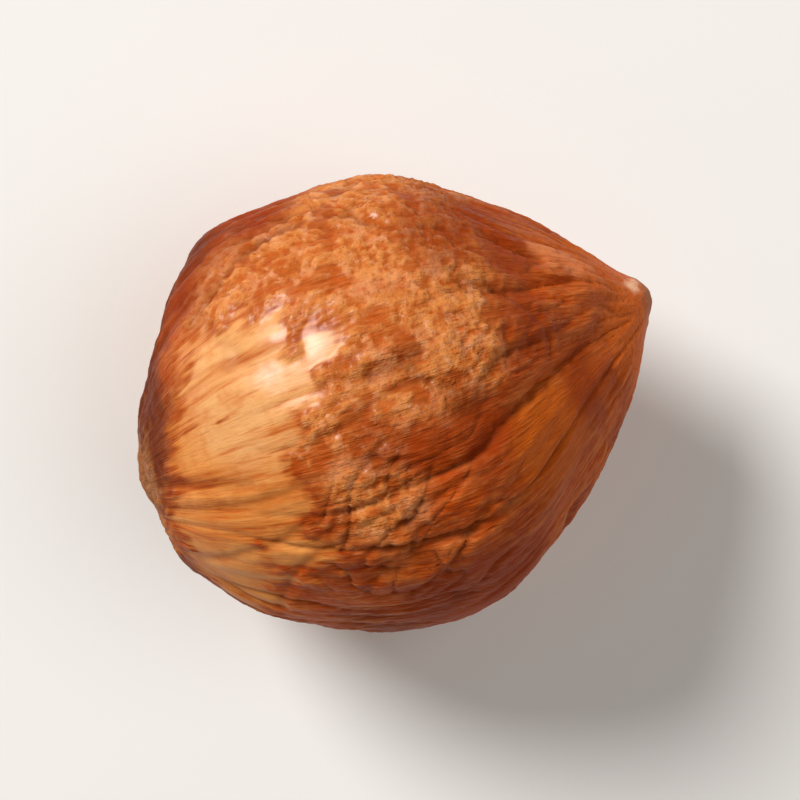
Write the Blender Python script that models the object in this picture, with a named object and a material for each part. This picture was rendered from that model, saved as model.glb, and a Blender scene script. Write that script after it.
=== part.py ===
"""A shelled hazelnut kernel in its brown skin, lying on its side.

The kernel is one solid. +X runs from its round base to its pointed tip, +Z is up, and the origin
is the middle of the small flat spot that it rests on. Its form is a closed formula: the distance
of the skin from the kernel's middle, for every direction. A blunt oval of one fullness at the
base and another at the tip gives the body. Swells, folds, creases, two seams, the nib at the tip
and the scar at the base are added to it.
"""
import math

import bmesh
import bpy
from mathutils import Vector, noise

MM = 0.001

# Driving sizes of the kernel
BASE_LENGTH = 8.0 * MM       # from the kernel's middle to its base
TIP_LENGTH = 7.95 * MM       # from the kernel's middle to its tip, without the nib
HALF_WIDTH = 6.8 * MM
HALF_THICKNESS = 6.45 * MM
BASE_FULLNESS = 2.1          # 2 is an ellipse, more is blunter
TIP_FULLNESS = 1.4           # 1 is a straight cone
FULLNESS_TURN = (-0.15, 0.85)  # the x of a direction where the one gives way to the other
TIP_LEAN = 0.3 * MM          # how far the tip leans to +Y

# The nib, the pale point that the kernel ends in
NIB_HEIGHT = 0.32 * MM
NIB_REACH = math.radians(5)
NIB_AZIMUTH = math.radians(3)

# The scar at the base, where the kernel was held in its shell: a dish with a knob and a rim
SCAR_REACH = math.radians(17)
SCAR_DEPTH = 0.22 * MM
SCAR_FLOOR_REACH = 0.6 * SCAR_REACH
SCAR_KNOB = 0.12 * MM
SCAR_KNOB_REACH = 0.3 * SCAR_REACH
SCAR_RIM = 0.07 * MM
SCAR_RIM_PLACE = 1.2 * SCAR_REACH
SCAR_RIM_REACH = 0.2 * SCAR_REACH

# The two seams run back from the tip, one along the top and one along the underside
SEAM_DEPTH = 0.28 * MM
SEAM_WIDTH = 0.85 * MM
SEAM_TURNS = (math.radians(97), math.radians(-80))
SEAM_DRIFT = math.radians(11)
SEAM_START = (0.08, 0.35)    # they deepen between these angles from the tip
SEAM_END = math.radians(92)
SEAM_FADE = 0.6 * SEAM_END

# Long folds, deep creases and finer strands, as noise drawn out from base to tip: how many of its
# waves go round the girth and how many lie in a radian lengthwise, how high or deep they are, how
# strongly they wander, and where each is read in the noise
FOLD_WAVES = (8, 0.6)
FOLD_HEIGHT = 0.2 * MM
FOLD_WANDER = 0.3
FOLD_SEED = Vector((0, 0, 0))
CREASE_WAVES = (24, 0.5)
CREASE_WIDTH = 0.22
CREASE_DEPTH = 0.2 * MM
CREASE_WANDER = 0.6
CREASE_SEED = Vector((7, 14, 2))
STRAND_WAVES = (46, 1.1)
STRAND_HEIGHT = 0.13 * MM
STRAND_WANDER = 1.2
STRAND_SEED = Vector((1, 8, 3))

# They wander with three slow noises, one for each axis, of this many waves to the kernel's radius
WANDER_PACE = 1.4
WANDER_SEEDS = (Vector((3, 1, 7)), Vector((17, 5, 2)), Vector((4, 23, 11)))

# They fade out toward both ends, between these girths, where the kernel's widest girth is 1
FOLD_FADE = (0.05, 0.45)
STRAND_FADE = (0.2, 0.7)

# How strongly the skin is creased: noise sets it, from its least to 1, then less is left of it where
# the skin lies smooth over the base, and more is added where it is creased most
CREASED_LEAST = 0.45
CREASED_PACE = 3.1
CREASED_SEED = Vector((9, 2, 4))
CREASED_SPREAD = 0.25
SMOOTH_PATCH = (math.radians(183), math.radians(42))
SMOOTH_REACH = math.radians(33)
SMOOTH_SHARE = 0.8
CREASED_PATCH = (math.radians(-104), math.radians(58))
CREASED_REACH = math.radians(24)
CREASED_EXTRA = 0.4

# Swells and hollows: azimuth from +X toward +Y, elevation toward +Z, reach, all in degrees, height
SWELLS = (
    (121, 3, 15, 0.42 * MM),
    (134, 0, 7, -0.18 * MM),
    (154, 0, 14, -0.85 * MM),
    (174, 0, 10, 0.2 * MM),
    (-162, 0, 22, 0.16 * MM),
    (-42, 0, 20, 0.1 * MM),
    (38, 0, 16, 0.2 * MM),
    (64, 0, 16, -0.14 * MM),
    (-64, 5, 15, -0.3 * MM),
    (-104, 0, 16, 0.22 * MM),
    (150, 60, 30, 0.18 * MM),
    (-90, 45, 25, 0.15 * MM),
    (60, 55, 20, -0.18 * MM),
    (-20, -50, 25, -0.2 * MM),
    (120, -50, 25, 0.2 * MM),
    (-120, -40, 25, -0.16 * MM),
    (-100, -77, 16, 0.14 * MM),
)

# The flat spot that the kernel rests on, this far above the lowest point of the plain oval
REST_LIFT = 0.15 * MM
REST_PLACE = (-0.6 * MM, 0)

MESH_ROWS = 31               # rows of faces across each of the six sides of the starting cube
END_CROWDING = 0.12          # how strongly the rows are drawn toward the base and the tip
SNAP = 0.02 * MM             # corners this near the rest plane are taken to lie in it

SKIN_COLOR = (0.434, 0.144, 0.045, 1)
SKIN_ROUGHNESS = 0.52


def clear_scene():
    for item in list(bpy.data.objects):
        bpy.data.objects.remove(item)


def ramp(low, high, value):
    """0 below low, 1 above high, and a smooth step between them."""
    t = min(1.0, max(0.0, (value - low) / (high - low)))
    return t * t * (3 - 2 * t)


def hill(offset, reach):
    """A round hill of height 1, which has sunk to about a third at its reach."""
    return math.exp(-(offset / reach) ** 2)


def groove(value, width):
    """1 where the value is 0, falling to 0 at this width on both sides."""
    return max(0.0, 1 - abs(value) / width) ** 1.5


def toward(azimuth, elevation):
    """The direction at these two angles, in radians."""
    flat = math.cos(elevation)
    return Vector((math.cos(azimuth) * flat, math.sin(azimuth) * flat, math.sin(elevation)))


def angle_from_tip(direction):
    return math.acos(min(1.0, max(-1.0, direction.x)))


def oval_radius(direction):
    """The plain body: a blunt oval, fuller at its base than at its tip."""
    half_length = TIP_LENGTH if direction.x > 0 else BASE_LENGTH
    fullness = BASE_FULLNESS + (TIP_FULLNESS - BASE_FULLNESS) * ramp(*FULLNESS_TURN, direction.x)
    along = abs(direction.x / half_length)
    across = math.hypot(direction.y / HALF_WIDTH, direction.z / HALF_THICKNESS)
    return (along ** fullness + across ** fullness) ** (-1 / fullness)


def swell_height(direction):
    height = 0
    for azimuth, elevation, reach, rise in SWELLS:
        middle = toward(math.radians(azimuth), math.radians(elevation))
        height += rise * hill(direction.angle(middle), math.radians(reach))
    return height


def wander(direction):
    """A slow drift by which the lines of the skin leave their straight course."""
    return Vector([noise.noise(direction * WANDER_PACE + seed) for seed in WANDER_SEEDS])


def drawn_noise(direction, waves, drift):
    """Noise with this many waves round the girth and along a radian, which leaves its course by drift."""
    around, along = waves
    turn = math.atan2(direction.z, direction.y)
    ring = around / (2 * math.pi)
    place = Vector((ring * math.cos(turn), ring * math.sin(turn), angle_from_tip(direction) * along))
    return noise.noise(place + drift)


def roughness_at(direction):
    """How strongly the skin is creased here: about 0.2 where it lies smooth, up to 1.3."""
    patches = ramp(-CREASED_SPREAD, CREASED_SPREAD, noise.noise(direction * CREASED_PACE + CREASED_SEED))
    patches = CREASED_LEAST + (1 - CREASED_LEAST) * patches
    smooth = hill(direction.angle(toward(*SMOOTH_PATCH)), SMOOTH_REACH)
    creased = hill(direction.angle(toward(*CREASED_PATCH)), CREASED_REACH)
    return patches * (1 - SMOOTH_SHARE * smooth) + CREASED_EXTRA * creased


def fold_height(direction):
    """Long folds, the deep creases between them and finer strands, fading out at both ends."""
    girth = math.hypot(direction.y, direction.z)
    drift = wander(direction)
    fold = drawn_noise(direction, FOLD_WAVES, drift * FOLD_WANDER + FOLD_SEED)
    crease = drawn_noise(direction, CREASE_WAVES, drift * CREASE_WANDER + CREASE_SEED)
    strand = drawn_noise(direction, STRAND_WAVES, drift * STRAND_WANDER + STRAND_SEED)
    roughness = roughness_at(direction)
    broad = FOLD_HEIGHT * fold - CREASE_DEPTH * roughness * groove(crease, CREASE_WIDTH)
    fine = STRAND_HEIGHT * roughness * strand
    return ramp(*FOLD_FADE, girth) * broad + ramp(*STRAND_FADE, girth) * fine


def seam_depth(direction):
    """Two shallow valleys from the tip, turning as they go, which die out past mid-length."""
    from_tip = angle_from_tip(direction)
    shown = ramp(*SEAM_START, from_tip) * (1 - ramp(SEAM_FADE, SEAM_END, from_tip))
    girth = math.hypot(direction.y, direction.z)
    turn = math.atan2(direction.z, direction.y)
    depth = 0
    for start in SEAM_TURNS:
        middle = start + SEAM_DRIFT * from_tip / SEAM_END
        offset = math.remainder(turn - middle, 2 * math.pi) * girth * HALF_WIDTH
        depth += SEAM_DEPTH * shown * hill(offset, SEAM_WIDTH)
    return depth


def nib_height(direction):
    return NIB_HEIGHT * hill(direction.angle(toward(NIB_AZIMUTH, 0)), NIB_REACH)


def scar_height(direction):
    """A shallow dish with a low rim and a small knob in its middle."""
    from_base = math.pi - angle_from_tip(direction)
    dish = 1 - ramp(SCAR_FLOOR_REACH, SCAR_REACH, from_base)
    knob = hill(from_base, SCAR_KNOB_REACH)
    rim = hill(from_base - SCAR_RIM_PLACE, SCAR_RIM_REACH)
    return SCAR_KNOB * knob + SCAR_RIM * rim - SCAR_DEPTH * dish


def skin_point(direction):
    """The point of the skin in this direction, from the kernel's middle."""
    radius = oval_radius(direction) + swell_height(direction) + fold_height(direction)
    radius += nib_height(direction) + scar_height(direction) - seam_depth(direction)
    point = direction * radius
    point.y += TIP_LEAN * max(0.0, point.x / TIP_LENGTH) ** 2
    return point


def even_direction(corner):
    """The direction of a corner of the gridded cube, spread evenly and crowded at both ends."""
    spread = Vector([math.tan(place * math.pi / 4) for place in corner]).normalized()
    from_tip = angle_from_tip(spread)
    from_tip -= END_CROWDING * math.sin(2 * from_tip)
    side = Vector((0, spread.y, spread.z))
    if side.length < 1e-6:
        return spread
    return Vector((math.cos(from_tip), 0, 0)) + side.normalized() * math.sin(from_tip)


def cut_rest_spot(shape):
    """Cuts the small flat spot that the kernel lies on and closes it with one flat face."""
    height = REST_LIFT - HALF_THICKNESS
    parts = shape.verts[:] + shape.edges[:] + shape.faces[:]
    bmesh.ops.bisect_plane(
        shape, geom=parts, dist=SNAP, plane_co=(0, 0, height), plane_no=(0, 0, -1), clear_outer=True
    )
    rim = [edge for edge in shape.edges if edge.is_boundary]
    for edge in rim:
        for corner in edge.verts:
            corner.co.z = height
    bmesh.ops.holes_fill(shape, edges=rim, sides=0)


def make_kernel():
    shape = bmesh.new()
    bmesh.ops.create_cube(shape, size=2)
    bmesh.ops.subdivide_edges(shape, edges=shape.edges, cuts=MESH_ROWS - 1, use_grid_fill=True)
    for corner in shape.verts:
        corner.co = skin_point(even_direction(corner.co))
    cut_rest_spot(shape)
    origin = Vector((REST_PLACE[0], REST_PLACE[1], REST_LIFT - HALF_THICKNESS))
    bmesh.ops.translate(shape, verts=shape.verts, vec=-origin)
    bmesh.ops.recalc_face_normals(shape, faces=shape.faces)
    bmesh.ops.triangulate(shape, faces=[face for face in shape.faces if len(face.verts) == 4])
    mesh = bpy.data.meshes.new("kernel")
    shape.to_mesh(mesh)
    shape.free()
    mesh.shade_smooth()
    kernel = bpy.data.objects.new("kernel", mesh)
    kernel.data.materials.append(skin_material())
    bpy.context.collection.objects.link(kernel)
    return kernel


def skin_material():
    material = bpy.data.materials.new("hazelnut_skin")
    material.use_nodes = True
    surface = material.node_tree.nodes["Principled BSDF"]
    surface.inputs["Base Color"].default_value = SKIN_COLOR
    surface.inputs["Roughness"].default_value = SKIN_ROUGHNESS
    surface.inputs["Metallic"].default_value = 0
    return material


def main():
    clear_scene()
    make_kernel()


main()
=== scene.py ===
"""A shelled hazelnut kernel in its brown skin, laid on its side on a pale floor.

The kernel's surface is one formula: the distance of the skin from the kernel's middle, for every
direction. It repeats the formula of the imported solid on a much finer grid, and adds what is too
fine for the solid: long narrow creases, slanting wrinkles, furrows, fibres, and cork that has
cracked and flaked. The same formula says what the skin is made of at each point, and the material
reads that from the mesh.
"""
import math
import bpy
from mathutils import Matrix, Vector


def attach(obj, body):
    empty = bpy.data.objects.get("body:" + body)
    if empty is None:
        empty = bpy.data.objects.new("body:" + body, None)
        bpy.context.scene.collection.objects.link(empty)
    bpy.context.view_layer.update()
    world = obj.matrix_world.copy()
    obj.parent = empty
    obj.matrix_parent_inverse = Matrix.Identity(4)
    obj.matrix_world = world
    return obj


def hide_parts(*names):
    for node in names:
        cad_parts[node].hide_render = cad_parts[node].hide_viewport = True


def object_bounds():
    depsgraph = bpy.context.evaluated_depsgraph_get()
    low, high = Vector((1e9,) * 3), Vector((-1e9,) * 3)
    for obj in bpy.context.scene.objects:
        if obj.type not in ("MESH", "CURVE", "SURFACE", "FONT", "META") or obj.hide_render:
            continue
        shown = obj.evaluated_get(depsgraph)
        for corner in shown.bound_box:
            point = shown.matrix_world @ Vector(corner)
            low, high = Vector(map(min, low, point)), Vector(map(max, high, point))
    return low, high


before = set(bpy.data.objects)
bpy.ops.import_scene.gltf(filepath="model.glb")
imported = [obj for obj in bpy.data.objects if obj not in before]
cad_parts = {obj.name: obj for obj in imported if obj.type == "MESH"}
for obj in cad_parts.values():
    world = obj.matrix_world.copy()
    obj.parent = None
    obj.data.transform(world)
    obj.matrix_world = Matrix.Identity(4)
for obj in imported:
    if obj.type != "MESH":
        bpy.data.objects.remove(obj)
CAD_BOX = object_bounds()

from types import SimpleNamespace

import bmesh
import bpy
from mathutils import Matrix, Vector, kdtree, noise

bl_info = {
    "name": "Hazelnut kernel",
    "version": (1, 0, 0),
    "blender": (4, 5, 0),
    "location": "3D View > Sidebar > Hazelnut",
    "description": "Makes a shelled hazelnut kernel, with a floor and soft light for it",
    "category": "Add Mesh",
}

MM = 0.001
NEARLY_NOTHING = 1e-6
# 1 gives a groove straight sides, and more gives it a narrower bottom
GROOVE_SHARPNESS = 1.5


def linear(hex_color):
    """The linear colour of an sRGB hex value such as "#B06A3C"."""
    values = [int(hex_color[i:i + 2], 16) / 255 for i in (1, 3, 5)]
    return tuple(v / 12.92 if v <= 0.04045 else ((v + 0.055) / 1.055) ** 2.4 for v in values)


def ramp(low, high, value):
    """0 below low, 1 above high, and a smooth step between them."""
    t = min(1.0, max(0.0, (value - low) / (high - low)))
    return t * t * (3 - 2 * t)


def hill(offset, reach):
    """A round hill of height 1, which has sunk to about a third at its reach."""
    return math.exp(-(offset / reach) ** 2)


def groove(value, width):
    """1 where the value is 0, falling to 0 at this width on both sides."""
    return max(0.0, 1 - abs(value) / width) ** GROOVE_SHARPNESS


def toward(azimuth, elevation):
    """The direction at an azimuth, from +X toward +Y, and an elevation toward +Z, in degrees."""
    azimuth, elevation = math.radians(azimuth), math.radians(elevation)
    flat = math.cos(elevation)
    return Vector((math.cos(azimuth) * flat, math.sin(azimuth) * flat, math.sin(elevation)))


def discs(*patches):
    """Round patches of skin, each from its azimuth, elevation and reach in degrees."""
    return [(toward(*middle), math.radians(reach)) for *middle, reach in patches]


def inside(direction, patches):
    """How many radians this direction is inside the nearest patch. Outside, it is below 0."""
    return max(reach - direction.angle(middle) for middle, reach in patches)


def angle_from_tip(direction):
    """The angle in radians between this direction and +X, where the tip is."""
    return math.acos(min(1.0, max(-1.0, direction.x)))


# The kernel's form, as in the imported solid

# Where the oval turns from the base's fullness to the tip's, as the direction's part along +X
FULLNESS_TURN = (-0.15, 0.85)

# Swells and hollows: azimuth, elevation and reach in degrees, height
SWELLS = (
    (121, 3, 15, 0.42 * MM),
    (134, 0, 7, -0.18 * MM),
    (154, 0, 14, -0.85 * MM),
    (174, 0, 10, 0.2 * MM),
    (-162, 0, 22, 0.16 * MM),
    (-42, 0, 20, 0.1 * MM),
    (38, 0, 16, 0.2 * MM),
    (64, 0, 16, -0.14 * MM),
    (-64, 5, 15, -0.3 * MM),
    (-104, 0, 16, 0.22 * MM),
    (150, 60, 30, 0.18 * MM),
    (-90, 45, 25, 0.15 * MM),
    (60, 55, 20, -0.18 * MM),
    (-20, -50, 25, -0.2 * MM),
    (120, -50, 25, 0.2 * MM),
    (-120, -40, 25, -0.16 * MM),
    (-100, -77, 16, 0.14 * MM),
)
SWELL_HILLS = [(toward(*middle), math.radians(reach), height) for *middle, reach, height in SWELLS]

# The nib, and the scar's dish with its floor, knob and rim
NIB = toward(3, 0)
NIB_REACH = math.radians(5)
SCAR_REACH = math.radians(17)
SCAR_FLOOR_REACH = 0.6 * SCAR_REACH
SCAR_KNOB_REACH = 0.3 * SCAR_REACH
SCAR_RIM_PLACE = 1.2 * SCAR_REACH
SCAR_RIM_REACH = 0.2 * SCAR_REACH

# The seams: where round the girth they start, how far they drift, and where they start and fade,
# as angles from the tip
SEAM_TURNS = (math.radians(97), math.radians(-80))
SEAM_DRIFT = math.radians(11)
SEAM_START = (0.08, 0.35)
SEAM_END = math.radians(92)
SEAM_FADE = 0.6 * SEAM_END
SEAM_WIDTH = 0.85 * MM

# The width of the deep creases in their noise, and the parts of the full girth at which folds and
# strands begin and are full. What is finer begins nearer to the ends
CREASE_WIDTH = 0.22
FOLD_FADE = (0.05, 0.45)
STRAND_FADE = (0.2, 0.7)
FINE_FADE = (0.04, 0.3)

# How strongly the skin is creased: noise sets it, less is left of it where the skin lies smooth,
# and more is added where it is creased most
CREASED_LEAST = 0.45
CREASED_PACE = 3.1
CREASED_SEED = Vector((9, 2, 4))
CREASED_SPREAD = 0.25
SMOOTH_PATCH = toward(183, 42)
SMOOTH_REACH = math.radians(33)
SMOOTH_SHARE = 0.8
CREASED_PATCH = toward(-104, 58)
CREASED_REACH = math.radians(24)
CREASED_EXTRA = 0.4

# The flat spot: how far it is above the full oval's underside, and where it is below the middle
REST_LIFT = 0.15 * MM
REST_PLACE = (-0.6 * MM, 0)
# How much closer the grid's rows lie at the tip and the base
END_CROWDING = 0.12

# The drift of the lines: its waves in the kernel's radius, and a seed for each axis
WANDER_PACE = 1.4
WANDER_SEEDS = (Vector((3, 1, 7)), Vector((17, 5, 2)), Vector((4, 23, 11)))

# The noises that draw the skin

# Those drawn out from base to tip: waves round the girth and in a radian of length, wandering, seed
DRAWN_NOISES = {
    "fold": ((8, 0.6), 0.3, Vector((0, 0, 0))),
    "crease": ((24, 0.5), 0.6, Vector((7, 14, 2))),
    "strand": ((46, 1.1), 1.2, Vector((1, 8, 3))),
    "ripple": ((62, 7), 2, Vector((6, 3, 2))),
    "hair": ((110, 3), 3, Vector((4, 4, 9))),
}
# Those that are as long as they are wide: waves in the kernel's radius, wandering, seed
ROUND_NOISES = {
    "broad": (3.3, 0, Vector((2, 6, 1))),
    "plate": (6.5, 1.5, Vector((6, 1, 1))),
    "middling": (8, 0, Vector((8, 1, 5))),
    "lump": (9, 0, Vector((1, 1, 8))),
    "net": (15, 2, Vector((5, 2, 3))),
    "small": (24, 3, Vector((0, 0, 0))),
    "crumb": (24, 0, Vector((9, 2, 6))),
    "grain": (38, 0, Vector((3, 8, 2))),
}
# The slanting wrinkles: the way they run, the waves across it and along it, wandering, seed
WRINKLE_WAY = Vector((0.74, 0.67, 0))
WRINKLE_PACE = (8, 1.7)
WRINKLE_WANDER = 1.2
WRINKLE_SEED = Vector((1, 4, 7))
# How wide the lines of each noise are, as its value at their edge
LINE_WIDTHS = {"crease": 0.12, "strand": 0.1, "slant": 0.17, "net": 0.13, "ripple": 0.14}

# What the skin is like in its patches: azimuth, elevation and reach in degrees

# Gold: thin, smooth and pale over the base, where the nut lay against its shell
GOLD_PATCHES = discs(
    (156, 45, 12),
    (138, 54, 8),
    (126, 64, 6),
    (150, 58, 9),
    (176, 52, 11),
    (178, 40, 11),
    (-165, 46, 14),
    (-146, 42, 9),
    (-152, 28, 12),
    (-165, 28, 11),
    (-152, 18, 11),
    (150, -35, 22),
    (20, -55, 18),
    (-60, -30, 20),
)
# Where the gold skin is waxed by rubbing on the shell, which gives it its gloss. Its paler colour
# here is partly a painted highlight, around where the key light's reflection falls
WAXED_PATCHES = discs((148, 54, 22), (-60, -30, 10))
# Where cork from the shell's lining has stayed on the skin
CORK_PATCHES = discs(
    (100, 62, 42),
    (76, 20, 24),
    (35, 66, 14),
    (-123, 65, 13),
    (-150, -35, 30),
    (80, -60, 30),
    (-30, -25, 22),
)
# Where the plain skin and the crust are darker: partly the skin's own darker patches, partly
# painted shade on the base's rim where neighbouring kernels shade it, in the hollow next to the tip
# and on the shaded side below the tip
DARK_PATCHES = discs(
    (9, 48, 10),
    (-44, 66, 9),
    (-80, 75, 8),
    (-127, 77, 7),
    (140, 8, 20),
    (119, 9, 19),
    (60, 42, 9),
    (34, 33, 9),
    (55, 26, 12),
    (-14, 28, 9),
    (-85, 22, 22),
    (-110, -10, 16),
    (60, -15, 18),
)
# The darkest skin, in a broken ring round the scar: partly the skin's own dark colour, partly
# painted shadow where neighbouring kernels shade the base's rim
RING_PATCHES = discs(
    (168, 7, 24),
    (150, 0, 20),
    (130, 2, 16),
    (-168, -8, 17),
    (178, -28, 14),
)
# The smooth swell that lies below the tip
LOBE_PATCHES = discs((-32, 44, 15), (-15, 33, 10))
# Where the slanting wrinkles are
WRINKLED_PATCHES = discs((-110, 55, 24), (-85, 40, 14), (112, 20, 14), (-20, -50, 25))
# The pale ridges behind the tip, worn by the shell and partly a painted highlight along the tip's
# upper edge, and the bare flesh on the nib with the dull end beyond it
RUBBED_AND_HIGHLIT_PATCHES = discs((25, 24, 5), (18, 20, 4), (12, 13, 3.5))
BARE_PATCHES = discs((4.9, 4.6, 1.9))
DULL_PATCHES = discs((1, -1, 5))

# How far inside its ragged edge each patch begins and is full, in radians
GOLD_RIM = (-0.17, 0.17)
ZONE_RIM = (-0.1, 0.12)
WAX_RIM = (-0.2, 0.1)
DARK_RIM = (-0.12, 0.1)
LOBE_RIM = (-0.1, 0.1)
NIB_RIM = (-0.04, 0.03)
BARE_RIM = (-0.02, 0.02)
# Where the skin round the tip is smooth and the scar's skin is left, as angles on the way out
CONE_RIM = (0.25, 0.6)
CONE_RAGGEDNESS = 0.2
SCAR_RIM = (0.75 * SCAR_REACH, 1.2 * SCAR_REACH)
SCAR_RAGGEDNESS = 2.5
# Where the gold skin is strong enough to lie bare of crust, and how much calmer it is there
BARED_RIM = (0.4, 0.62)
BARED_CALM = 0.8
# The plates of crust begin and are full at these values of their noise, raised by their cover
PLATE_RIM = (-0.16, 0.1)
PLATE_COVER = 0.22
# Cork begins and is full at these parts of the full girth, and the scar has this much of it
CORK_FADE = (0.25, 0.6)
SCAR_CORK = 0.8
# The worn, partly painted highlight on the ridges lies on the crests of the strands
RUBBED_AND_HIGHLIT_CREST = (-0.1, 0.15)
# The parts of the full girth up to which the material's lengthwise patterns are left out
ENDS_RIM = (0.12, 0.4)

# How much of each noise is in what it draws. At edges it is in radians
RAGGED_EDGE = {"middling": 0.06, "small": 0.04}
ZONE_EDGE = {"middling": 0.06, "small": 0.04, "broad": -0.1}
DARK_EDGE = {"middling": 0.06, "small": 0.04, "broad": 0.08}
GOLD_EDGE = {"middling": 0.1, "strand": 0.08, "hair": 0.04, "small": 0.04}
LOBE_EDGE = {"middling": 0.03, "small": 0.02}
NIB_EDGE = {"lump": 0.012, "crumb": 0.014, "grain": 0.014}
PLATES = {"plate": 0.7, "small": 0.5, "middling": 0.3}
CRUST_RELIEF = {"lump": 0.35, "crumb": 0.5, "grain": 0.45}
FIBRE_RELIEF = {"ripple": 0.7, "hair": 0.6, "grain": 0.5}
DRY_RELIEF = {"net": 0.6, "crumb": 0.8, "grain": 0.8}

# Heights as parts of the crust's: its middle level, its crinkles, and the step down to gold skin
CRUST_LEVEL = 0.5
CRINKLE_DEPTH = 0.8
BARED_STEP = 0.6
# The crinkles are lines of the net and the ripple, with this much of the second
RIPPLE_SHARE = 0.8
# Heights as parts of the furrows': wrinkles, long creases and their lips
PULL_DEPTH = 1.6
LONG_CREASE_DEPTH = 1.1
LIP_HEIGHT = 0.5
# How strong the furrows are where the skin isn't creased
FURROW_LEAST = 0.3
# How much of the fine relief is lost where the skin is bare gold, and how much of that on the lobe
SMOOTHING = 0.85
LOBE_SMOOTHING = 0.8
# How much each line darkens the skin: partly the line's own dark colour, partly painted shade in it
CREASE_DARK = 0.6
FURROW_DARK = 0.35
PULL_DARK = 0.55
LONG_CREASE_DARK = 0.5

# The long creases that stand out: azimuth and elevation in degrees of points along each
LONG_CREASES = (
    ((135, 17), (124, 18), (98, 17), (67, 23)),
    ((143, 31), (126, 30), (106, 29), (86, 34)),
    ((-179, 21), (-173, 37), (-167, 49)),
    ((-174, 18), (-167, 34), (-159, 51), (-150, 65)),
    ((-160, 15), (-154, 30), (-148, 41), (-143, 52)),
    ((-152, 66), (-120, 74), (-82, 71), (-57, 65)),
    ((-73, 64), (-99, 61), (-113, 51), (-118, 31)),
    ((-105, 65), (-125, 54), (-140, 39), (-138, 15)),
    ((-64, 56), (-81, 50), (-93, 38)),
    ((-128, 60), (-135, 52), (-140, 47)),
    ((1, 18), (-10, 37), (-18, 52), (-40, 63), (-62, 66)),
    ((10, 18), (20, 27), (33, 31), (49, 35)),
    ((35, 51), (18, 45), (3, 42), (-8, 43)),
)
LONG_CREASE_REACH = math.radians(1.3)
LONG_CREASE_LIP = 2.2 * LONG_CREASE_REACH
# How far the creases swerve in radians, and the noises that make them swerve along each axis
LONG_CREASE_SHAKE = 0.035
LONG_CREASE_SHAKERS = ("middling", "small", "lump")
# How often their corners are cut, and how their depth falls towards their ends: lower stays deep
LONG_CREASE_CUTS = 5
LONG_CREASE_TAPER = 0.6

# How much shorter the skin is in the space in which the material draws its fibres
GRAIN_SHORTENING = 0.13


def wander(direction):
    """A slow drift by which the lines of the skin leave their straight course."""
    return Vector([noise.noise(direction * WANDER_PACE + seed) for seed in WANDER_SEEDS])


def drawn_noise(direction, waves, drift):
    """Noise with these waves round the girth and lengthwise, which leaves its course by drift."""
    around, along = waves
    turn = math.atan2(direction.z, direction.y)
    ring = around / (2 * math.pi)
    length = angle_from_tip(direction) * along
    return noise.noise(Vector((ring * math.cos(turn), ring * math.sin(turn), length)) + drift)


def slanting_noise(direction, drift):
    """Noise drawn out along the way of the slanting wrinkles."""
    across, along = WRINKLE_PACE
    forward = WRINKLE_WAY * direction.dot(WRINKLE_WAY)
    place = (direction - forward) * across + forward * along + drift * WRINKLE_WANDER
    return noise.noise(place + WRINKLE_SEED)


def roughness_at(direction):
    """How strongly the skin is creased here: about 0.1 where it lies smooth, up to 1.4."""
    patches = noise.noise(direction * CREASED_PACE + CREASED_SEED)
    patches = ramp(-CREASED_SPREAD, CREASED_SPREAD, patches)
    patches = CREASED_LEAST + (1 - CREASED_LEAST) * patches
    smooth = hill(direction.angle(SMOOTH_PATCH), SMOOTH_REACH)
    creased = hill(direction.angle(CREASED_PATCH), CREASED_REACH)
    return patches * (1 - SMOOTH_SHARE * smooth) + CREASED_EXTRA * creased


def even_direction(corner):
    """The direction of a corner of the gridded cube, spread evenly and crowded at both ends."""
    spread = Vector([math.tan(place * math.pi / 4) for place in corner]).normalized()
    from_tip = angle_from_tip(spread)
    from_tip -= END_CROWDING * math.sin(2 * from_tip)
    side = Vector((0, spread.y, spread.z))
    if side.length < NEARLY_NOTHING:
        return spread
    return Vector((math.cos(from_tip), 0, 0)) + side.normalized() * math.sin(from_tip)


def cut_corners(way):
    """The same way with each corner cut off a quarter of the way to the next, which rounds it."""
    rounded = [way[0]]
    for first, second in zip(way, way[1:]):
        rounded += [first.lerp(second, 0.25), first.lerp(second, 0.75)]
    return rounded + [way[-1]]


def place_creases():
    """A search tree of points along the long creases, and how deep the crease is at each."""
    places, depths = [], []
    for points in LONG_CREASES:
        way = [toward(*point) for point in points]
        for _ in range(LONG_CREASE_CUTS):
            way = cut_corners(way)
        for i, place in enumerate(way):
            places.append(place.normalized())
            depths.append(math.sin(math.pi * i / (len(way) - 1)) ** LONG_CREASE_TAPER)
    tree = kdtree.KDTree(len(places))
    for i, place in enumerate(places):
        tree.insert(place, i)
    tree.balance()
    return tree, depths


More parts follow.
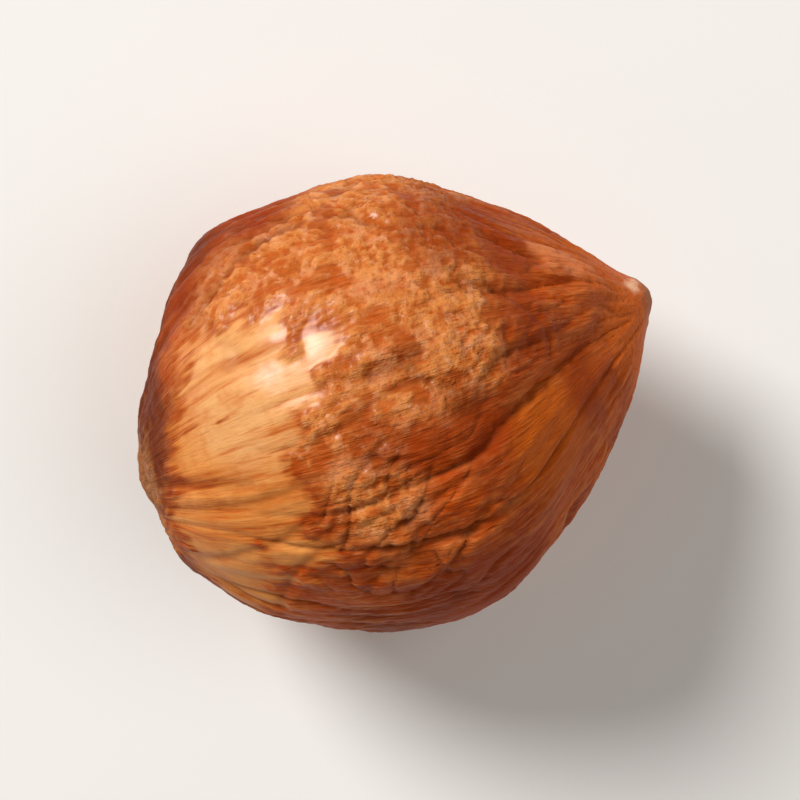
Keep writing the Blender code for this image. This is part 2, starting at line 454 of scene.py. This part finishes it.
class SkinPoint:
    """One point of the skin: where it is and what the skin is like there."""

    def __init__(self, direction, sizes, creases):
        self.direction = direction
        self.sizes = sizes
        self.from_tip = angle_from_tip(direction)
        self.from_base = math.pi - self.from_tip
        self.girth = math.hypot(direction.y, direction.z)
        self.turn = math.atan2(direction.z, direction.y)
        self.roughness = roughness_at(direction)
        self.find_noises()
        self.find_patches()
        self.find_lines(*creases)

    def find_noises(self):
        direction, drift = self.direction, wander(self.direction)
        self.noises = {}
        for name, (waves, bend, seed) in DRAWN_NOISES.items():
            self.noises[name] = drawn_noise(direction, waves, drift * bend + seed)
        for name, (pace, bend, seed) in ROUND_NOISES.items():
            self.noises[name] = noise.noise(direction * pace + drift * bend + seed)
        self.noises["slant"] = slanting_noise(direction, drift)

    def blend(self, shares):
        """The noises at this point, with this much of each."""
        return sum(share * self.noises[name] for name, share in shares.items())

    def patch(self, patches, edge, rim):
        """How far the point is inside these patches, from 0 to 1, with this ragged edge."""
        return ramp(*rim, inside(self.direction, patches) + self.blend(edge))

    def line(self, name):
        """How deep in the lines along which this noise is 0 the point is, from 0 to 1."""
        return groove(self.noises[name], LINE_WIDTHS[name])

    def find_patches(self):
        """How far the point is inside each kind of patch, from 0 to 1."""
        self.gold = self.patch(GOLD_PATCHES, GOLD_EDGE, GOLD_RIM)
        self.bared = ramp(*BARED_RIM, self.gold)
        self.zone = self.patch(CORK_PATCHES, ZONE_EDGE, ZONE_RIM) * (1 - self.bared)
        scar_edge = self.from_base + SCAR_RAGGEDNESS * self.blend(RAGGED_EDGE)
        self.scar = 1 - ramp(*SCAR_RIM, scar_edge)
        plates = ramp(*PLATE_RIM, PLATE_COVER + self.blend(PLATES))
        self.cork = max(self.zone * plates * ramp(*CORK_FADE, self.girth), SCAR_CORK * self.scar)
        self.wax = self.patch(WAXED_PATCHES, RAGGED_EDGE, WAX_RIM)
        self.dark = self.patch(DARK_PATCHES, DARK_EDGE, DARK_RIM)
        self.ring = self.patch(RING_PATCHES, DARK_EDGE, DARK_RIM)
        self.lobe = self.patch(LOBE_PATCHES, LOBE_EDGE, LOBE_RIM)
        self.wrinkled = self.patch(WRINKLED_PATCHES, RAGGED_EDGE, DARK_RIM)
        self.rubbed = self.patch(RUBBED_AND_HIGHLIT_PATCHES, NIB_EDGE, NIB_RIM)
        self.rubbed *= ramp(*RUBBED_AND_HIGHLIT_CREST, self.noises["strand"])
        self.bare = self.patch(BARE_PATCHES, NIB_EDGE, BARE_RIM)
        self.dull = self.patch(DULL_PATCHES, NIB_EDGE, NIB_RIM)

    def find_lines(self, tree, depths):
        """How deep in each kind of line the point is, and how high on the lips of a long crease."""
        self.furrow = self.line("strand") * (FURROW_LEAST + (1 - FURROW_LEAST) * self.roughness)
        self.pull = self.line("slant") * self.wrinkled * (1 - self.bared)
        self.crinkle = self.line("net") + RIPPLE_SHARE * self.line("ripple")
        calm = 1 - BARED_CALM * self.bared
        shake = Vector([self.noises[name] for name in LONG_CREASE_SHAKERS])
        _, index, distance = tree.find(self.direction + shake * LONG_CREASE_SHAKE * calm)
        self.long_crease = depths[index] * hill(distance, LONG_CREASE_REACH)
        self.lip = depths[index] * calm * hill(distance - LONG_CREASE_LIP, LONG_CREASE_REACH)

    def oval_radius(self):
        sizes, direction = self.sizes, self.direction
        half_length = sizes.tip_length if direction.x > 0 else sizes.base_length
        fuller = ramp(*FULLNESS_TURN, direction.x)
        fullness = sizes.base_fullness + (sizes.tip_fullness - sizes.base_fullness) * fuller
        along = abs(direction.x / half_length)
        across = math.hypot(direction.y / sizes.half_width, direction.z / sizes.half_thickness)
        return (along ** fullness + across ** fullness) ** (-1 / fullness)

    def swell_height(self):
        return sum(
            height * hill(self.direction.angle(middle), reach)
            for middle, reach, height in SWELL_HILLS
        )

    def fold_height(self):
        sizes, noises = self.sizes, self.noises
        creases = sizes.crease_depth * self.roughness * groove(noises["crease"], CREASE_WIDTH)
        broad = sizes.fold_height * noises["fold"] - creases
        strands = sizes.strand_height * self.roughness * noises["strand"]
        return ramp(*FOLD_FADE, self.girth) * broad + ramp(*STRAND_FADE, self.girth) * strands

    def seam_depth(self):
        shown = ramp(*SEAM_START, self.from_tip) * (1 - ramp(SEAM_FADE, SEAM_END, self.from_tip))
        depth = 0
        for start in SEAM_TURNS:
            middle = start + SEAM_DRIFT * self.from_tip / SEAM_END
            offset = math.remainder(self.turn - middle, 2 * math.pi) * self.girth
            offset *= self.sizes.half_width
            depth += self.sizes.seam_depth * shown * hill(offset, SEAM_WIDTH)
        return depth

    def end_height(self):
        """The nib at the tip, and the scar at the base: a dish with a knob and a rim."""
        sizes = self.sizes
        dish = 1 - ramp(SCAR_FLOOR_REACH, SCAR_REACH, self.from_base)
        knob = hill(self.from_base, SCAR_KNOB_REACH)
        rim = hill(self.from_base - SCAR_RIM_PLACE, SCAR_RIM_REACH)
        nib = hill(self.direction.angle(NIB), NIB_REACH)
        scar = sizes.scar_knob * knob + sizes.scar_rim * rim - sizes.scar_depth * dish
        return scar + sizes.nib_height * nib

    def relief_height(self):
        """The crust's crumbs and crinkles, the fibres of the skin, and the nib's dry end."""
        sizes = self.sizes
        crust = CRUST_LEVEL + self.blend(CRUST_RELIEF) - CRINKLE_DEPTH * self.crinkle
        fibres = self.smoothing() * ramp(*FINE_FADE, self.girth) * self.blend(FIBRE_RELIEF)
        dry_end = self.dull * self.blend(DRY_RELIEF)
        return crust * self.cork * sizes.cork_height + (fibres + dry_end) * sizes.fibre_height

    def smoothing(self):
        """1 on rough skin, and near 0 where the skin is thin and tight."""
        return 1 - SMOOTHING * max(self.bared, LOBE_SMOOTHING * self.lobe)

    def furrow_depth(self):
        """The narrow furrows, wrinkles and long creases, and the step down to thin gold skin."""
        lines = self.smoothing() * self.furrow + PULL_DEPTH * self.pull
        lines = lines + LONG_CREASE_DEPTH * self.long_crease - LIP_HEIGHT * self.lip
        step = BARED_STEP * self.sizes.cork_height * self.bared
        return ramp(*FINE_FADE, self.girth) * self.sizes.furrow_depth * lines + step

    def place(self):
        """Where the point is, with the origin in the flat spot on which the kernel rests."""
        sizes = self.sizes
        radius = self.oval_radius() + self.swell_height() + self.fold_height() - self.seam_depth()
        radius += self.end_height() + self.relief_height() - self.furrow_depth()
        point = self.direction * radius
        point.y += sizes.tip_lean * max(0.0, point.x / sizes.tip_length) ** 2
        floor = REST_LIFT - sizes.half_thickness
        point.z = max(point.z, floor)
        return point - Vector((*REST_PLACE, floor))

    def course(self):
        """The place on a tube as wide as the kernel and much shorter: patterns come out long."""
        radius = self.sizes.half_width
        length = self.from_tip * radius * GRAIN_SHORTENING
        return (radius * math.cos(self.turn), radius * math.sin(self.turn), length)

    def marks(self):
        """What the material reads at this point, each from 0 to 1."""
        # Creases, furrows, wrinkles and long creases are darkened: partly their own dark lines,
        # partly painted shade
        dug = CREASE_DARK * (self.line("crease") * self.roughness) + FURROW_DARK * self.furrow
        dug = dug + PULL_DARK * self.pull + LONG_CREASE_DARK * self.long_crease
        # 0 a crust's thickness below the plain skin, 1 as far above it
        crest = 0.5 + self.relief_height() / (2 * self.sizes.cork_height)
        cone_edge = self.from_tip + CONE_RAGGEDNESS * self.noises["middling"]
        return {
            "gold": self.gold,
            "zone": self.zone,
            "cork": self.cork,
            "scar": self.scar,
            "wax": self.wax * self.gold,
            "dark": self.dark,
            "ring": self.ring,
            "lobe": self.lobe,
            "cone": 1 - ramp(*CONE_RIM, cone_edge),
            "rubbed": self.rubbed,
            "bare": self.bare,
            "dull": self.dull,
            "ends": 1 - ramp(*ENDS_RIM, self.girth),
            "crest": min(1.0, max(0.0, crest)),
            "dug": min(1.0, dug),
        }


MARKS = (
    "gold", "wax", "zone", "cork", "scar", "dark", "ring", "lobe", "cone", "rubbed", "bare", "dull",
    "ends", "crest", "dug",
)


def length_value(name, description, value):
    return bpy.props.FloatProperty(
        name=name, description=description, default=value, min=0, precision=5,
        subtype="DISTANCE", unit="LENGTH",
    )


def colour_value(name, description, value):
    return bpy.props.FloatVectorProperty(
        name=name, description=description, default=linear(value), size=3, min=0, max=1,
        subtype="COLOR",
    )


class KernelSizes(bpy.types.PropertyGroup):
    """Sizes of the kernel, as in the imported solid, and of its finest relief."""

    base_length: length_value("Base length", "From the kernel's middle to its round base", 8.0 * MM)
    tip_length: length_value(
        "Tip length", "From the kernel's middle to its tip, without the nib", 7.95 * MM
    )
    half_width: length_value("Half width", "Half the width, seen from above", 6.8 * MM)
    half_thickness: length_value("Half thickness", "Half the height as it lies", 6.45 * MM)
    tip_lean: length_value("Tip lean", "How far the tip leans to one side", 0.3 * MM)
    nib_height: length_value("Nib", "Height of the pale point at the tip", 0.32 * MM)
    scar_depth: length_value("Scar depth", "Depth of the scar at the base", 0.22 * MM)
    scar_knob: length_value("Scar knob", "Height of the knob in the middle of the scar", 0.12 * MM)
    scar_rim: length_value("Scar rim", "Height of the rim round the scar", 0.07 * MM)
    seam_depth: length_value("Seams", "Depth of the two seams that run from the tip", 0.28 * MM)
    fold_height: length_value("Folds", "Height of the long folds", 0.2 * MM)
    crease_depth: length_value("Creases", "Depth of the deep creases", 0.2 * MM)
    strand_height: length_value("Strands", "Height of the strands", 0.13 * MM)
    furrow_depth: length_value("Furrows", "Depth of the thin dark furrows", 0.06 * MM)
    fibre_height: length_value("Fibres", "Height of the finest fibres", 0.05 * MM)
    cork_height: length_value("Cork", "Thickness of the corky crust", 0.07 * MM)
    base_fullness: bpy.props.FloatProperty(
        name="Base fullness", description="2 is an ellipse, more is blunter",
        default=2.1, min=1, max=4,
    )
    tip_fullness: bpy.props.FloatProperty(
        name="Tip fullness", description="1 is a straight cone, 2 an ellipse",
        default=1.4, min=1, max=4,
    )
    rows: bpy.props.IntProperty(
        name="Rows", description="Rows of faces on each of the six sides",
        default=128, min=8, max=128,
    )


class SkinColours(bpy.types.PropertyGroup):
    """Colours of the kernel's skin."""

    skin: colour_value("Skin", "The plain red-brown skin", "#C65414")
    skin_dark: colour_value("Dark skin", "The plain skin where it is darkest", "#923208")
    cork: colour_value("Cork", "The crests of the corky crust", "#DC8A48")
    # Dark cork: the crust between its crests, partly painted shade in its hollows
    cork_dark: colour_value("Dark cork", "The corky crust between its crests", "#B85E24")
    # Film also paints the shining cork scales pale, partly a painted glint colour under their gloss
    film: colour_value("Film", "The papery film on the cork", "#E89A66")
    gold: colour_value("Gold", "The smooth thin skin over the base", "#E6964E")
    # Waxed gold: paler thin skin, partly a painted highlight
    gold_waxed: colour_value("Waxed gold", "The thin skin where it is waxed", "#ECAA6A")
    gold_dark: colour_value("Dark gold", "The strands in the thin skin", "#CE702C")
    # Gold line: the furrows in the thin skin, partly painted shade in them
    gold_line: colour_value("Gold line", "The furrows in the thin skin", "#A04C12")
    # Ring: partly dark skin, partly painted shadow on the base's rim
    ring: colour_value("Ring", "The darkest skin, round the scar", "#662406")
    # Furrow: partly the dark bottom of creases and furrows, partly painted shade in them
    furrow: colour_value("Furrow", "The bottom of creases and furrows", "#6A2406")
    cone: colour_value("Cone", "The smooth skin round the tip", "#DC681E")
    lobe: colour_value("Lobe", "The smooth swell below the tip", "#C85E10")
    # Pale ridges behind the tip: worn skin, partly a painted highlight
    rubbed: colour_value("Rubbed skin", "The ridges behind the tip", "#F09058")
    bare: colour_value("Bare flesh", "The bare spot on the nib", "#FFC29C")
    dull: colour_value("Dull end", "The dry end of the nib", "#A86848")
    scar: colour_value("Scar", "The corky scar at the base", "#B8743E")


class StageLook(bpy.types.PropertyGroup):
    """The floor, the light and the camera."""

    floor: colour_value("Floor", "Colour of the floor", "#F3F0EB")
    room: colour_value("Room", "Colour of the even light from all round", "#FFFAF3")
    room_light: bpy.props.FloatProperty(
        name="Room light", description="Strength of the even light from all round",
        default=0.14, min=0,
    )
    key_power: bpy.props.FloatProperty(
        name="Key light", description="Power of the soft light from the upper left",
        default=2.5, min=0, unit="POWER",
    )
    fill_power: bpy.props.FloatProperty(
        name="Fill light", description="Power of the wide light from above",
        default=0.7, min=0, unit="POWER",
    )
    tilt: bpy.props.FloatProperty(
        name="Tilt", description="How far the tip points above level in the picture",
        default=math.radians(18.5), subtype="ANGLE",
    )
    frame_width: length_value("Frame width", "Width of the picture at the kernel's middle", 24 * MM)
    lens: bpy.props.FloatProperty(
        name="Lens", description="Focal length in millimetres",
        default=120, min=20, max=300,
    )


def add_node(tree, kind, inputs=None, **settings):
    """Adds a node with its settings. Each input is a value, or another node's output to link.

    The inputs of Mix and Math nodes go by number. In a Mix node, 0 is the share of the second of
    the two that it mixes, which are 2 and 3 for numbers and 6 and 7 for colours.
    """
    node = tree.nodes.new(kind)
    for name, value in settings.items():
        setattr(node, name, value)
    for name, value in (inputs or {}).items():
        if isinstance(value, bpy.types.NodeSocket):
            tree.links.new(value, node.inputs[name])
        else:
            node.inputs[name].default_value = value
    return node


# How strongly the patterns' finer waves show, and how much fibres and strands fray the gold skin
PATTERN_ROUGHNESS = 0.62
FRAYED_BY_FIBRES = 0.7
FRAYED_BY_STRANDS = 0.9


def read_skin(tree):
    """The outputs that say what the skin is like: the mesh's own marks, and patterns drawn on it.

    The patterns' sizes are real ones, from stains as wide as a fold down to the grain of the cork.
    Cork grains and fibres are finer than this and wouldn't show, so they are drawn 2 or 3 times
    as coarse.
    """
    skin = {}
    for name in MARKS:
        skin[name] = add_node(tree, "ShaderNodeAttribute", attribute_name=name).outputs["Fac"]
    course = add_node(tree, "ShaderNodeAttribute", attribute_name="course").outputs["Vector"]
    place = add_node(tree, "ShaderNodeTexCoord").outputs["Object"]
    # Where each pattern is drawn, its size, and how many finer waves it has
    patterns = {
        "stained": (place, 2.6 * MM, 4),
        "blotched": (place, 0.9 * MM, 3),
        "speckled": (place, 0.3 * MM, 3),
        "grain": (place, 0.14 * MM, 3),
        "strand": (course, 0.8 * MM, 3),
        "fibre": (course, 0.2 * MM, 3),
        "hair": (course, 0.09 * MM, 2),
    }
    for name, (where, size, detail) in patterns.items():
        inputs = {
            "Vector": where, "Scale": 1 / size, "Detail": detail, "Roughness": PATTERN_ROUGHNESS,
        }
        skin[name] = add_node(tree, "ShaderNodeTexNoise", inputs).outputs["Fac"]
    # Near the nib and the scar the lengthwise patterns would crowd into a fan
    for name, plain in (("fibre", "speckled"), ("hair", "grain")):
        inputs = {0: skin["ends"], 2: skin[name], 3: skin[plain]}
        skin[name] = add_node(tree, "ShaderNodeMix", inputs, data_type="FLOAT").outputs[0]
    # The gold skin ends in fibres: where it thins out, fibres and strands decide whether it shows
    frayed = {0: skin["fibre"], 1: FRAYED_BY_FIBRES, 2: skin["gold"]}
    frayed = add_node(tree, "ShaderNodeMath", frayed, operation="MULTIPLY_ADD").outputs[0]
    frayed = {0: skin["strand"], 1: FRAYED_BY_STRANDS, 2: frayed}
    skin["frayed"] = add_node(tree, "ShaderNodeMath", frayed, operation="MULTIPLY_ADD").outputs[0]
    return skin


def lay_over(tree, skin, under, layers):
    """The colour under with layers over it.

    Each layer has the mark or pattern that places it, the values of that where the layer begins and
    where it is full, how much the full layer covers, and its colour.
    """
    for mark, begins, full, cover, colour in layers:
        share = {"Value": skin[mark], "From Min": begins, "From Max": full, "To Max": cover}
        share = add_node(tree, "ShaderNodeMapRange", share).outputs["Result"]
        under = {0: share, 6: under, 7: colour}
        under = add_node(tree, "ShaderNodeMix", under, data_type="RGBA").outputs[2]
    return under


def skin_colour(tree, skin, paint):
    """The colour of the skin: crust, ring and thin gold skin on plain skin, then scar and nib."""
    plain = lay_over(tree, skin, paint["skin"], (
        ("stained", 0.6, 0.38, 0.9, paint["skin_dark"]),
        # Paler where the crust stands high: partly wear on the crests, partly painted shade below
        # them
        ("crest", 0.4, 0.9, 0.6, paint["cork"]),
        ("fibre", 0.5, 0.32, 0.6, paint["skin_dark"]),
        ("fibre", 0.55, 0.75, 0.4, paint["cork"]),
        ("hair", 0.46, 0.3, 0.5, paint["skin_dark"]),
        ("hair", 0.58, 0.75, 0.4, paint["film"]),
        ("zone", 0, 1, 0.45, paint["cork_dark"]),
        ("lobe", 0, 1, 0.7, paint["lobe"]),
        # Darker patches, partly painted shade on the rim, in the hollow by the tip and on the
        # shaded side
        ("dark", 0, 1, 0.75, paint["skin_dark"]),
        ("cone", 0, 1, 0.75, paint["cone"]),
        ("hair", 0.5, 0.3, 0.35, paint["skin_dark"]),
        # Dark lines, partly painted shade in creases and furrows
        ("dug", 0.15, 1, 0.8, paint["furrow"]),
    ))
    # The crust is paler on its crests and darker between them: partly wear on the crests, partly
    # painted shade in the hollows
    crust = lay_over(tree, skin, paint["cork_dark"], (
        ("crest", 0.35, 0.85, 1, paint["cork"]),
        ("blotched", 0.5, 0.62, 0.6, paint["film"]),
        ("speckled", 0.48, 0.34, 0.6, paint["skin"]),
        # Pale film where the scales shine: partly pale scales, partly a painted glint colour
        ("speckled", 0.55, 0.66, 0.7, paint["film"]),
        ("grain", 0.42, 0.3, 0.5, paint["skin_dark"]),
        # Darker patches on the crust, partly painted shade
        ("dark", 0, 1, 0.6, paint["skin_dark"]),
        ("dug", 0.15, 1, 0.8, paint["furrow"]),
    ))
    thin = lay_over(tree, skin, paint["gold_dark"], (
        ("gold", 0.3, 0.95, 1, paint["gold"]),
        # Paler waxed gold, partly a painted highlight
        ("wax", 0.2, 0.9, 1, paint["gold_waxed"]),
        ("strand", 0.52, 0.36, 0.8, paint["gold_dark"]),
        ("blotched", 0.5, 0.36, 0.4, paint["gold_dark"]),
        ("fibre", 0.44, 0.28, 0.45, paint["skin"]),
        ("hair", 0.42, 0.28, 0.3, paint["skin"]),
        ("dug", 0.1, 0.8, 0.85, paint["gold_line"]),
    ))
    return lay_over(tree, skin, plain, (
        ("cork", 0, 1, 0.9, crust),
        # The ring is partly painted shadow on the base's rim
        ("ring", 0, 1, 0.9, paint["ring"]),
        ("frayed", 1.2, 1.5, 1, thin),
        ("scar", 0, 1, 0.6, paint["scar"]),
        # Pale ridges behind the tip, partly a painted highlight
        ("rubbed", 0, 1, 0.6, paint["rubbed"]),
        ("dull", 0, 1, 0.8, paint["dull"]),
        ("bare", 0, 1, 0.95, paint["bare"]),
    ))


PLAIN_ROUGHNESS = 0.45
CORK_ROUGHNESS = 0.6
GOLD_ROUGHNESS = 0.38

# Where wax and loose scales begin to shine, where the scales shine in full, and how strongly
WAX_BEGINS = 0.2
WAX_SHINE = 0.8
SCALES_BEGIN = 0.54
SCALES_FULL = 0.66
SCALES_SHINE = 0.6

# How high grain and strings stand up on each kind of skin, as parts of the bump's height
GRAIN_ON_SKIN = 0.25
GRAIN_ON_CORK = 1
STRINGS_ON_SKIN = 0.9
STRINGS_ON_GOLD = 0.35
BUMP_HEIGHT = 0.06 * MM


def hazelnut_skin_material(colours):
    """Dried nut skin, a thin papery seed coat.

    It is satin where it is thin and tight, and matt where it is corky. Tannin gives it its
    red-brown, and the pale flesh close under it a little glow. Its creases and furrows are painted
    darker, partly their own dark lines and partly painted shade, and loose scales of cork catch the
    light.
    """
    material = bpy.data.materials.new("dried_hazelnut_skin")
    material.use_nodes = True
    tree = material.node_tree
    surface = tree.nodes["Principled BSDF"]
    skin = read_skin(tree)
    paint = {name: (*getattr(colours, name), 1) for name in colours.__annotations__}
    tree.links.new(skin_colour(tree, skin, paint), surface.inputs["Base Color"])

    rough = {"Value": skin["cork"], "To Min": PLAIN_ROUGHNESS, "To Max": CORK_ROUGHNESS}
    rough = add_node(tree, "ShaderNodeMapRange", rough).outputs["Result"]
    rough = {0: skin["gold"], 2: rough, 3: GOLD_ROUGHNESS}
    rough = add_node(tree, "ShaderNodeMix", rough, data_type="FLOAT").outputs[0]
    tree.links.new(rough, surface.inputs["Roughness"])

    # Wax on the gold skin, and the scales that shine on the cork
    wax = {"Value": skin["wax"], "From Min": WAX_BEGINS, "To Max": WAX_SHINE}
    wax = add_node(tree, "ShaderNodeMapRange", wax).outputs["Result"]
    scales = {
        "Value": skin["speckled"], "From Min": SCALES_BEGIN, "From Max": SCALES_FULL,
        "To Max": SCALES_SHINE,
    }
    scales = add_node(tree, "ShaderNodeMapRange", scales).outputs["Result"]
    scales = {0: scales, 1: skin["cork"]}
    scales = add_node(tree, "ShaderNodeMath", scales, operation="MULTIPLY").outputs[0]
    shine = add_node(tree, "ShaderNodeMath", {0: wax, 1: scales}, operation="MAXIMUM").outputs[0]
    tree.links.new(shine, surface.inputs["Coat Weight"])

    # Grain stands up on the cork, and fibres elsewhere
    coarse = {"Value": skin["cork"], "To Min": GRAIN_ON_SKIN, "To Max": GRAIN_ON_CORK}
    coarse = add_node(tree, "ShaderNodeMapRange", coarse).outputs["Result"]
    crumbly = {0: skin["grain"], 1: coarse}
    crumbly = add_node(tree, "ShaderNodeMath", crumbly, operation="MULTIPLY").outputs[0]
    stringy = {"Value": skin["gold"], "To Min": STRINGS_ON_SKIN, "To Max": STRINGS_ON_GOLD}
    stringy = add_node(tree, "ShaderNodeMapRange", stringy).outputs["Result"]
    strings = {0: skin["fibre"], 1: skin["hair"]}
    strings = add_node(tree, "ShaderNodeMath", strings, operation="ADD").outputs[0]
    relief = {0: strings, 1: stringy, 2: crumbly}
    relief = add_node(tree, "ShaderNodeMath", relief, operation="MULTIPLY_ADD").outputs[0]
    bump = {"Height": relief, "Strength": 1.0, "Distance": BUMP_HEIGHT}
    bump = add_node(tree, "ShaderNodeBump", bump).outputs["Normal"]
    tree.links.new(bump, surface.inputs["Normal"])

    surface.inputs["IOR"].default_value = 1.47
    surface.inputs["Specular IOR Level"].default_value = 0.1
    surface.inputs["Specular Tint"].default_value = (*linear("#FFDDB4"), 1)
    surface.inputs["Coat Roughness"].default_value = 0.25
    surface.inputs["Subsurface Weight"].default_value = 0.08
    surface.inputs["Subsurface Radius"].default_value = (1.0, 0.4, 0.15)
    surface.inputs["Subsurface Scale"].default_value = 0.4 * MM
    return material


def matt_board_material(colour):
    """Painted white board, rolled on matt: even and without gloss."""
    material = bpy.data.materials.new("matt_white_board")
    material.use_nodes = True
    surface = material.node_tree.nodes["Principled BSDF"]
    surface.inputs["Base Color"].default_value = (*colour, 1)
    surface.inputs["Roughness"].default_value = 0.9
    return material


def gridded_cube(rows):
    """A cube from -1 to 1 with this many rows of square faces on each side."""
    shape = bmesh.new()
    bmesh.ops.create_cube(shape, size=2)
    bmesh.ops.subdivide_edges(shape, edges=shape.edges, cuts=rows - 1, use_grid_fill=True)
    return shape


class HAZELNUT_OT_make_kernel(bpy.types.Operator):
    """Make the kernel with its wrinkles, cork, nib and scar"""

    bl_idname = "hazelnut.make_kernel"
    bl_label = "Make kernel"

    def execute(self, context):
        group = context.scene.kernel_sizes
        sizes = SimpleNamespace(**{name: getattr(group, name) for name in group.__annotations__})
        creases = place_creases()
        shape = gridded_cube(sizes.rows)
        marks, courses = [], []
        for corner in shape.verts:
            skin = SkinPoint(even_direction(corner.co), sizes, creases)
            corner.co = skin.place()
            marks.append(skin.marks())
            courses.extend(skin.course())
        bmesh.ops.recalc_face_normals(shape, faces=shape.faces)
        mesh = bpy.data.meshes.new("kernel_skin")
        shape.to_mesh(mesh)
        shape.free()
        mesh.shade_smooth()
        for name in MARKS:
            values = mesh.attributes.new(name, "FLOAT", "POINT").data
            values.foreach_set("value", [mark[name] for mark in marks])
        mesh.attributes.new("course", "FLOAT_VECTOR", "POINT").data.foreach_set("vector", courses)
        mesh.materials.append(hazelnut_skin_material(context.scene.skin_colours))
        kernel = bpy.data.objects.new("kernel_skin", mesh)
        context.scene.collection.objects.link(kernel)
        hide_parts("kernel")
        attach(kernel, "root")
        return {"FINISHED"}


# The directions and widths of the lights, which are all at one distance from the kernel
LIGHT_DISTANCE = 0.5
KEY_WAY = toward(119, 42)
KEY_WIDTH = 0.22
FILL_WAY = toward(-15, 62)
FILL_WIDTH = 0.4
FLOOR_HALF = 0.6
NEAREST_SEEN = 1 * MM


class HAZELNUT_OT_make_stage(bpy.types.Operator):
    """Make the pale floor, the soft light and the camera above the kernel"""

    bl_idname = "hazelnut.make_stage"
    bl_label = "Make stage"

    def execute(self, context):
        look = context.scene.stage_look
        low, high = CAD_BOX
        middle = Vector([(a + b) / 2 for a, b in zip(low, high)])
        self.make_floor(context, look.floor)
        self.make_light(context, "key_light", middle, KEY_WAY, KEY_WIDTH, look.key_power)
        self.make_light(context, "fill_light", middle, FILL_WAY, FILL_WIDTH, look.fill_power)
        self.make_room(context, look)
        self.make_camera(context, look, middle)
        context.scene.view_settings.view_transform = "Standard"
        return {"FINISHED"}

    def make_floor(self, context, colour):
        mesh = bpy.data.meshes.new("floor")
        corners = ((-1, -1), (1, -1), (1, 1), (-1, 1))
        corners = [(x * FLOOR_HALF, y * FLOOR_HALF, 0) for x, y in corners]
        mesh.from_pydata(corners, [], [(0, 1, 2, 3)])
        mesh.materials.append(matt_board_material(colour))
        floor = bpy.data.objects.new("floor", mesh)
        context.scene.collection.objects.link(floor)

    def make_light(self, context, name, middle, way, width, power):
        """A round soft light of this width, in this direction from the kernel and facing it."""
        offset = way * LIGHT_DISTANCE
        light = bpy.data.lights.new(name, "AREA")
        light.shape = "DISK"
        light.size = width
        light.energy = power
        holder = bpy.data.objects.new(name, light)
        holder.location = middle + offset
        holder.rotation_mode = "QUATERNION"
        holder.rotation_quaternion = (-offset).to_track_quat("-Z", "Y")
        context.scene.collection.objects.link(holder)

    def make_room(self, context, look):
        world = bpy.data.worlds.new("room")
        world.use_nodes = True
        backdrop = world.node_tree.nodes["Background"]
        backdrop.inputs["Color"].default_value = (*look.room, 1)
        backdrop.inputs["Strength"].default_value = look.room_light
        context.scene.world = world

    def make_camera(self, context, look, middle):
        """Straight above the kernel, turned so that the tip points up to the right."""
        camera = bpy.data.cameras.new("camera")
        camera.lens = look.lens
        camera.clip_start = NEAREST_SEEN
        distance = look.frame_width * camera.lens / camera.sensor_width
        holder = bpy.data.objects.new("camera", camera)
        turn = Matrix.Rotation(-look.tilt, 4, "Z")
        holder.matrix_world = Matrix.Translation(middle + Vector((0, 0, distance))) @ turn
        context.scene.collection.objects.link(holder)
        context.scene.camera = holder


class HAZELNUT_PT_panel(bpy.types.Panel):
    """Lists what the add-on makes"""

    bl_idname = "HAZELNUT_PT_panel"
    bl_label = "Hazelnut kernel"
    bl_space_type = "VIEW_3D"
    bl_region_type = "UI"
    bl_category = "Hazelnut"

    def draw(self, context):
        scene = context.scene
        for group in (scene.kernel_sizes, scene.skin_colours, scene.stage_look):
            box = self.layout.box()
            for name in group.__annotations__:
                box.prop(group, name)
        self.layout.operator(HAZELNUT_OT_make_kernel.bl_idname)
        self.layout.operator(HAZELNUT_OT_make_stage.bl_idname)


CLASSES = (
    KernelSizes,
    SkinColours,
    StageLook,
    HAZELNUT_OT_make_kernel,
    HAZELNUT_OT_make_stage,
    HAZELNUT_PT_panel,
)


def register():
    for item in CLASSES:
        bpy.utils.register_class(item)
    bpy.types.Scene.kernel_sizes = bpy.props.PointerProperty(type=KernelSizes)
    bpy.types.Scene.skin_colours = bpy.props.PointerProperty(type=SkinColours)
    bpy.types.Scene.stage_look = bpy.props.PointerProperty(type=StageLook)


def unregister():
    del bpy.types.Scene.stage_look
    del bpy.types.Scene.skin_colours
    del bpy.types.Scene.kernel_sizes
    for item in reversed(CLASSES):
        bpy.utils.unregister_class(item)


def main():
    register()
    bpy.ops.hazelnut.make_kernel()
    bpy.ops.hazelnut.make_stage()


if __name__ == "__main__":
    main()
